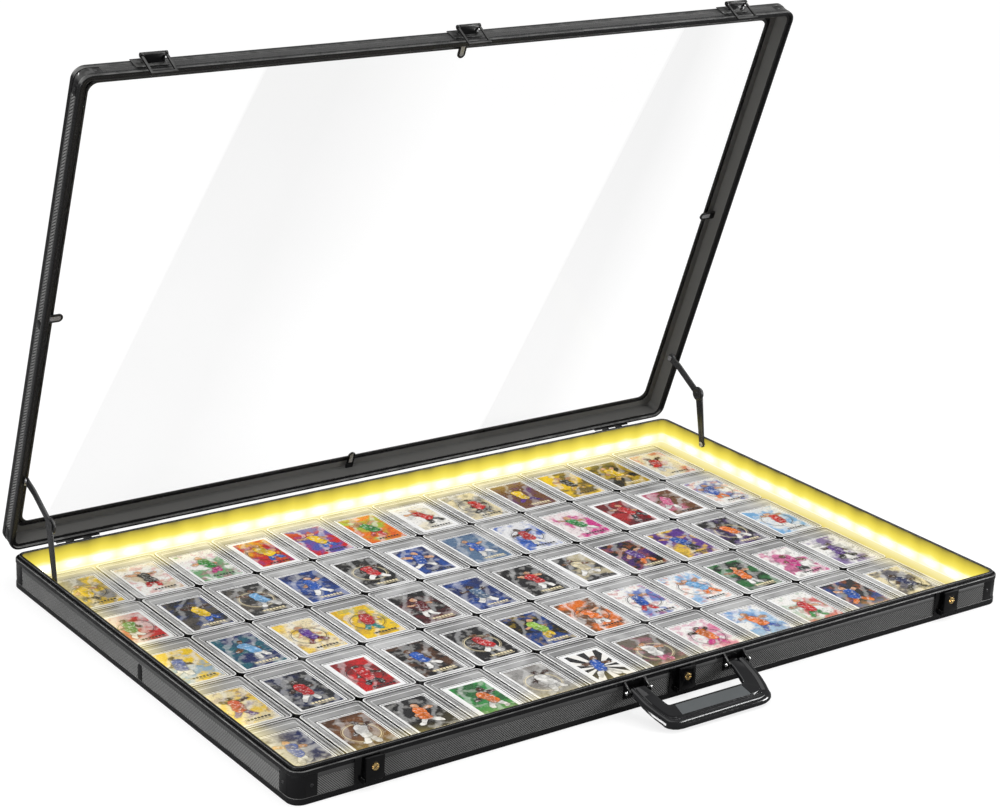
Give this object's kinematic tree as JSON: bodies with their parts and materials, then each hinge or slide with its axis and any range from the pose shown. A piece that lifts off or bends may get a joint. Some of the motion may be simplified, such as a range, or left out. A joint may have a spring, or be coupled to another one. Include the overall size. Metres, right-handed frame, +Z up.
{
  "type": "trading card display case",
  "caption": "Shallow hinged display case with a glass lid, a lit tray of clear card holders, draw latches, a carrying handle and folding lid stays.",
  "frame": {"origin": "on the surface that the base stands on, under the middle of the open case's box", "axes": "+X along the front to the right as the user sees it, +Y from the front with the latches to the hinged back, +Z up"},
  "size_m": [0.864, 0.6452, 0.5766],
  "materials": {
    "black_rail": "black satin anodised rail",
    "black_panel": "fine diagonal ribs outside, plain lining inside",
    "black_cap": "glossy black",
    "black_hardware": "black semi-gloss coated steel",
    "grey_steel": "grey",
    "brass_key": "polished",
    "handle_plastic": "satin",
    "light_strip": "warm light diffuser",
    "clear_holder": "clear moulded plastic",
    "dark_felt": "short felt",
    "clear_glass": "clear sheet glass"
  },
  "bodies": {
    "base": {"base_top_frame": "black_rail", "base_bottom_frame": "black_rail", "base_wall_front": "black_panel", "base_wall_right": "black_panel", "base_wall_back": "black_panel", "base_wall_left": "black_panel", "base_corner_cap_front_left": "black_cap", "base_corner_cap_front_right": "black_cap", "base_corner_cap_back_left": "black_cap", "base_corner_cap_back_right": "black_cap", "bottom_panel": "black_panel", "tray_liner": "dark_felt", "led_strip": "light_strip", "power_socket": "black_hardware", "card_holders_row_1": "clear_holder", "card_holders_row_2": "clear_holder", "card_holders_row_3": "clear_holder", "card_holders_row_4": "clear_holder", "card_holders_row_5": "clear_holder", "latch_plate_left": "black_hardware", "latch_plate_centre": "black_hardware", "latch_plate_right": "black_hardware", "handle_bracket_left": "black_hardware", "hinge_base_leaf_left": "black_hardware", "stay_foot_rivet_left": "grey_steel", "handle_bracket_right": "black_hardware", "hinge_base_leaf_right": "black_hardware", "stay_foot_rivet_right": "grey_steel"},
    "lid": {"lid_edge_frame": "black_rail", "lid_glass_frame": "black_rail", "lid_wall_front": "black_panel", "lid_wall_right": "black_panel", "lid_wall_back": "black_panel", "lid_wall_left": "black_panel", "lid_corner_cap_front_left": "black_cap", "lid_corner_cap_front_right": "black_cap", "lid_corner_cap_back_left": "black_cap", "lid_corner_cap_back_right": "black_cap", "loop_bracket_left": "black_hardware", "loop_bracket_centre": "black_hardware", "loop_bracket_right": "black_hardware", "hinge_lid_leaf_left": "black_hardware", "stay_lid_rivet_left": "grey_steel", "hinge_lid_leaf_right": "black_hardware", "stay_lid_rivet_right": "grey_steel", "glass_panel": "clear_glass"},
    "latch_lever_left": {"latch_lever_left": "black_hardware"},
    "latch_loop_left": {"latch_loop_left": "black_hardware"},
    "key_cylinder_left": {"key_cylinder_left": "brass_key"},
    "latch_lever_centre": {"latch_lever_centre": "black_hardware"},
    "latch_loop_centre": {"latch_loop_centre": "black_hardware"},
    "key_cylinder_centre": {"key_cylinder_centre": "brass_key"},
    "latch_lever_right": {"latch_lever_right": "black_hardware"},
    "latch_loop_right": {"latch_loop_right": "black_hardware"},
    "key_cylinder_right": {"key_cylinder_right": "brass_key"},
    "stay_lower_arm_left": {"stay_lower_arm_left": "black_hardware"},
    "stay_upper_arm_left": {"stay_upper_arm_left": "black_hardware"},
    "stay_lower_arm_right": {"stay_lower_arm_right": "black_hardware"},
    "stay_upper_arm_right": {"stay_upper_arm_right": "black_hardware"},
    "carry_handle": {"carry_handle": "handle_plastic"}
  },
  "joints": [
    {"name": "lid_hinge", "type": "hinge", "parent": "base", "child": "lid", "pos_m": [0, 0.29996, 0.03], "axis": [1, 0, 0], "range_deg": [0, 71]},
    {"name": "lever_left_pivot", "type": "hinge", "parent": "base", "child": "latch_lever_left", "pos_m": [-0.353, -0.26484, 0.0095], "axis": [1, 0, 0], "range_deg": [0, 90]},
    {"name": "key_left_turn", "type": "hinge", "parent": "latch_lever_left", "child": "key_cylinder_left", "pos_m": [-0.353, -0.26774, 0.0225], "axis": [0, 1, 0], "range_deg": [0, 90]},
    {"name": "loop_left_pivot", "type": "hinge", "parent": "lid", "child": "latch_loop_left", "pos_m": [-0.353, 0.13166, 0.57405], "axis": [-1, 0, 0], "range_deg": [0, 90]},
    {"name": "lever_centre_pivot", "type": "hinge", "parent": "base", "child": "latch_lever_centre", "pos_m": [0, -0.26484, 0.0095], "axis": [1, 0, 0], "range_deg": [0, 90]},
    {"name": "key_centre_turn", "type": "hinge", "parent": "latch_lever_centre", "child": "key_cylinder_centre", "pos_m": [0, -0.26774, 0.0225], "axis": [0, 1, 0], "range_deg": [0, 90]},
    {"name": "loop_centre_pivot", "type": "hinge", "parent": "lid", "child": "latch_loop_centre", "pos_m": [0, 0.13166, 0.57405], "axis": [-1, 0, 0], "range_deg": [0, 90]},
    {"name": "lever_right_pivot", "type": "hinge", "parent": "base", "child": "latch_lever_right", "pos_m": [0.353, -0.26484, 0.0095], "axis": [1, 0, 0], "range_deg": [0, 90]},
    {"name": "key_right_turn", "type": "hinge", "parent": "latch_lever_right", "child": "key_cylinder_right", "pos_m": [0.353, -0.26774, 0.0225], "axis": [0, 1, 0], "range_deg": [0, 90]},
    {"name": "loop_right_pivot", "type": "hinge", "parent": "lid", "child": "latch_loop_right", "pos_m": [0.353, 0.13166, 0.57405], "axis": [-1, 0, 0], "range_deg": [0, 90]},
    {"name": "handle_pivot", "type": "hinge", "parent": "base", "child": "carry_handle", "pos_m": [0, -0.26844, 0.0235], "axis": [-1, 0, 0], "range_deg": [0, 90]},
    {"name": "stay_left_foot_pivot", "type": "hinge", "parent": "base", "child": "stay_lower_arm_left", "pos_m": [-0.4237, 0.21406, 0.0272], "axis": [1, 0, 0], "range_deg": [0, 109.6]},
    {"name": "stay_left_lid_pivot", "type": "hinge", "parent": "lid", "child": "stay_upper_arm_left", "pos_m": [-0.4216, 0.27943, 0.11727], "axis": [1, 0, 0], "range_deg": [-79.2, 0]},
    {"name": "stay_right_foot_pivot", "type": "hinge", "parent": "base", "child": "stay_lower_arm_right", "pos_m": [0.4237, 0.21406, 0.0272], "axis": [1, 0, 0], "range_deg": [0, 109.6]},
    {"name": "stay_right_lid_pivot", "type": "hinge", "parent": "lid", "child": "stay_upper_arm_right", "pos_m": [0.4216, 0.27943, 0.11727], "axis": [1, 0, 0], "range_deg": [-79.2, 0]}
  ],
  "couplings": [
    {"joint": "stay_left_foot_pivot", "follows": "lid_hinge", "ratio": 1.5411},
    {"joint": "stay_left_lid_pivot", "follows": "lid_hinge", "ratio": -1.1127},
    {"joint": "stay_right_foot_pivot", "follows": "lid_hinge", "ratio": 1.5411},
    {"joint": "stay_right_lid_pivot", "follows": "lid_hinge", "ratio": -1.1127}
  ]
}
